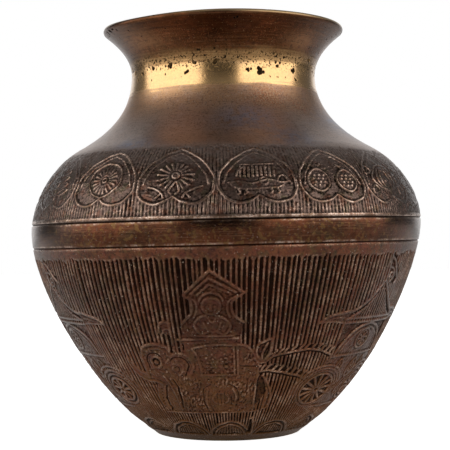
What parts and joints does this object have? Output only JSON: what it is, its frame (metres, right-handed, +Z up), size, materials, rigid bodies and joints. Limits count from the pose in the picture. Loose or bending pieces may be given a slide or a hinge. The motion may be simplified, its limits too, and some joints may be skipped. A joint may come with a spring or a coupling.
{
  "type": "lota water pot",
  "caption": "Round-bellied brass water pot with a flared mouth, waisted neck, chased shoulder and bowl, a plain belly hoop and a small flat foot.",
  "frame": {"origin": "centre of the flat standing ring, on the surface that the pot stands on", "axes": "+Z up along the pot's own axis, out of the mouth; -Y is the side whose chased scene shows the elephant"},
  "size_m": [0.1466, 0.1466, 0.152],
  "materials": {
    "brass_mouth": "worn, speckled brown patina with a bright rubbed lip",
    "brass_shoulder": "polished by handling at the neck, dark blackened ground in the chased band",
    "brass_girdle": "smooth reddish brown patina with fine scratches",
    "brass_bowl": "dark reddish brown patina, black in the hollows, rubbed on the ridges",
    "brass_base": "scuffed brown patina",
    "braze_filler": "pitted yellow brazing filler"
  },
  "bodies": {
    "root": {"mouth_flare": "brass_mouth", "neck_braze": "braze_filler", "shoulder_shell": "brass_shoulder", "girdle_hoop": "brass_girdle", "belly_braze": "braze_filler", "bowl_shell": "brass_bowl", "base_disc": "brass_base", "base_braze": "braze_filler"}
  },
  "joints": []
}
